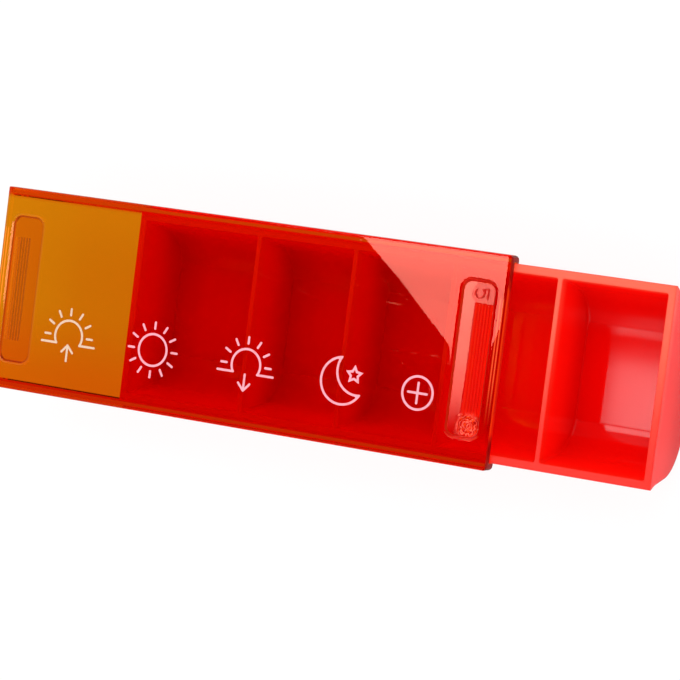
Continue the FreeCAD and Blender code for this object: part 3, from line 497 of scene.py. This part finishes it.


# Clear orange plastic with the marks of its mould, painted shade on some of them, and painted glows and
# highlights
def makeClearOrange(look):
    material, tree = newMaterial("clearOrange")
    shader = addNode(tree, "BsdfPrincipled")
    setInputs(shader, {"IOR": 1.57, "Transmission Weight": 1.0, "Specular Tint": look["sheen"],
                       "Emission Strength": 1.0})
    x, y, z = split(tree, objectPlace(tree))
    facing = split(tree, addNode(tree, "NewGeometry").outputs["Normal"])
    recess, strip, pin, ridgeArea, gate = [
        useGroup(tree, groups["outline"], {"Fold": look["fold"], **look[name]})["Distance"]
        for name in ("recess", "strip", "pin", "ridges", "gate")]
    skin = useGroup(tree, groups["skin"], look["skin"])
    specks = useGroup(tree, groups["specks"], look["specks"])["Mask"]
    lines = useGroup(tree, groups["hairlines"], look["hairlines"])["Mask"]
    rightHalf = maths(tree, "GREATER_THAN", x, look["fold"])
    upper = ramp(tree, z, *look["upper"])
    aside = maths(tree, "ABSOLUTE", y)
    fromEnd = minus(tree, look["end"], maths(tree, "ABSOLUTE", minus(tree, x, look["fold"])))

    # The marks: the recess's wall and lip, its strip and ridges, the figure, and the cover's ends
    wall = times(tree, pulse(tree, recess, *look["wallLine"]), upper)
    lip = times(tree, pulse(tree, recess, *look["lipLine"]), ramp(tree, aside, *look["lipFrom"]))
    onStrip = times(tree, fall(tree, strip, *look["edge"]), pulse(tree, z, look["floor"], look["floorHalf"]))
    ridges = fall(tree, ridgeArea, *look["edge"])
    ridged = times(tree, ramp(tree, facing[2], *look["ridgeSlope"]), fall(tree, recess, *look["ridgeFrom"]))
    figure = times(tree, fall(tree, pin, *look["figureEdge"]), rightHalf, ramp(tree, z, *look["figureRise"]))
    ends = ramp(tree, maths(tree, "ABSOLUTE", facing[0]), *look["endFacing"])

    # Colour: redder towards the near side and in the rails, with painted shade that makes the recess redder,
    # darkens its wall, the figure and the ridges, and makes the ends redder
    colour = blendColours(tree, ramp(tree, y, *look["turn"]), look["plateNear"], look["plateFar"])
    # Painted shade: the recess redder
    inside = fall(tree, recess, *look["recessEdge"], look["recessShare"])
    colour = blendColours(tree, inside, colour, look["recessShade"])
    rail = blendColours(tree, ramp(tree, y, *look["railTurn"]), look["railNear"], look["railFar"])
    colour = blendColours(tree, ramp(tree, aside, *look["railAt"]), colour, rail)
    # Painted shade: a dark line in the recess's wall, the figure and the ridges' slopes
    shadedMarks = most(tree, wall, figure, times(tree, ridged, look["ridgeShade"]))
    colour = blendColours(tree, shadedMarks, colour, look["line"])
    # Painted shade: darker, redder end faces
    colour = blendColours(tree, ends, colour, look["endFaceShade"])

    # Gloss: polished, but duller in the wall, the figure, the ridges and the swirl by the gate
    swirlPlace = addNode(tree, "Mapping", vector_type="TEXTURE")
    swirlPlace.inputs["Location"].default_value = look["gatePlace"]
    waves = addNode(tree, "TexWave", wave_type="RINGS", rings_direction="Z", wave_profile="SIN")
    setInputs(waves, look["swirl"])
    wire(tree, (objectPlace(tree), swirlPlace.inputs[0]), (swirlPlace.outputs[0], waves.inputs["Vector"]))
    swirl = waves.outputs["Fac"]
    nearGate = times(tree, fall(tree, gate, *look["gateEdge"]), rightHalf,
                     fall(tree, recess, *look["recessEdge"]))
    masks = {"specks": specks, "lines": lines, "wall": wall, "figure": figure, "ends": ends,
             "ridged": ridged, "lip": lip, "swirl": times(tree, nearGate, swirl)}
    dull = most(tree, *[times(tree, masks[name], amount) for name, amount in look["dull"].items()])

    # Painted light: each glow lies over the one before it. The lines near the ends and the strip's glow are
    # painted highlights
    rib = times(tree, ramp(tree, maths(tree, "ABSOLUTE", facing[1]), *look["ribFacing"]),
                fall(tree, z, *look["ribTop"]), fall(tree, aside, *look["ribSide"]))
    strokes = times(tree, ramp(tree, swirl, *look["strokes"]), nearGate)
    litStrip = times(tree, onStrip, rightHalf, ramp(tree, y, *look["stripLit"]))
    endLines = most(tree, *[pulse(tree, fromEnd, middle, half) for middle, half in look["endLines"]])
    endLines = times(tree, endLines, ramp(tree, y, *look["glowFrom"]), fall(tree, y, *look["glowTo"]), upper)
    glow = black
    for mask, name in ((ends, "endShine"), (times(tree, wall, rightHalf), "wallShine"),
                       (figure, "figureShine"), (times(tree, ridges, rightHalf, upper), "ridgeShine"),
                       (rib, "railShine"), (strokes, "strokeShine"), (litStrip, "stripShine"),
                       (endLines, "endGlow")):
        glow = blendColours(tree, mask, glow, look[name])

    # Relief, and the slight lean of the strip and the ridges
    bump = makeBump(tree, plus(tree, skin["Height"], times(tree, specks, look["speckHeight"]),
                               times(tree, swirl, nearGate, look["swirlHeight"])))
    notPin = most(tree, ramp(tree, pin, *look["edge"]), minus(tree, 1.0, rightHalf))
    tilt = plus(tree, times(tree, onStrip, notPin, look["stripTilt"]),
                times(tree, ridges, upper, look["ridgeTilt"]))
    tilted = addNode(tree, "CombineXYZ")
    lean = addNode(tree, "VectorMath", operation="ADD")
    straight = addNode(tree, "VectorMath", operation="NORMALIZE")
    wire(tree, (tilt, tilted.inputs[1]), (bump.outputs[0], lean.inputs[0]),
         (tilted.outputs[0], lean.inputs[1]), (lean.outputs[0], straight.inputs[0]),
         (straight.outputs[0], shader.inputs["Normal"]), (colour, shader.inputs["Base Color"]),
         (dull, shader.inputs["Roughness"]), (glow, shader.inputs["Emission Color"]))

    # Shadow rays pass straight through, tinted
    passing = addNode(tree, "BsdfTransparent")
    passing.inputs["Color"].default_value = look["shade"]
    soak = addNode(tree, "VolumeAbsorption")
    setInputs(soak, {"Color": look["soakColour"], "Density": look["soakDensity"]})
    mix = addNode(tree, "MixShader")
    wire(tree, (addNode(tree, "LightPath").outputs["Is Shadow Ray"], mix.inputs["Fac"]),
         (shader.outputs[0], mix.inputs[1]), (passing.outputs[0], mix.inputs[2]))
    out = showSurface(tree, mix.outputs[0])
    wire(tree, (soak.outputs[0], out.inputs["Volume"]))
    return material


inkLook = {
    "full": (0.98, 0.41, 0.49, 1), "thin": (0.96, 0.28, 0.31, 1), "thinFrom": (0.52, 0.68),
    "cream": (0.80, 0.56, 0.40, 1), "clear": (-64 * mm, -62 * mm), "gloss": 0.45,
    "skin": {"Wave Size": 0.0016, "Wave Height": 1e-6, "Grain Size": 0.00012, "Grain Height": 2e-6},
}


# Printed ink, a little thinner here and there. It takes some colour from what lies under it
def makeInk(look):
    material, tree = newMaterial("whiteInk")
    shader = addNode(tree, "BsdfPrincipled")
    shader.inputs["Roughness"].default_value = look["gloss"]
    skin = useGroup(tree, groups["skin"], look["skin"])
    colour = blendColours(tree, ramp(tree, skin["Mottle"], *look["thinFrom"]), look["full"], look["thin"])
    overClear = fall(tree, split(tree, objectPlace(tree))[0], *look["clear"])
    colour = blendColours(tree, overClear, colour, look["cream"])
    wire(tree, (colour, shader.inputs["Base Color"]),
         (makeBump(tree, skin["Height"]).outputs[0], shader.inputs["Normal"]))
    showSurface(tree, shader.outputs[0])
    return material


def paint(node, material):
    nodes[node].material_slots[0].material = material


makeCamera(cameraLook)
print("camera is set")
for name, look in panels.items():
    makePanel(name, look)
makeWorld(worldLook)
makeFloor(floorLook)
print("panels and floor are up")

paint("tray", makeRedPlastic(redLook))
print("tray is finished")
paint("slide_cover", makeClearOrange(orangeLook))
print("cover is finished")
ink = makeInk(inkLook)
for node in ("sunrise_print", "sun_print", "sunset_print", "moon_star_print", "plus_print"):
    paint(node, ink)
print("prints are finished")
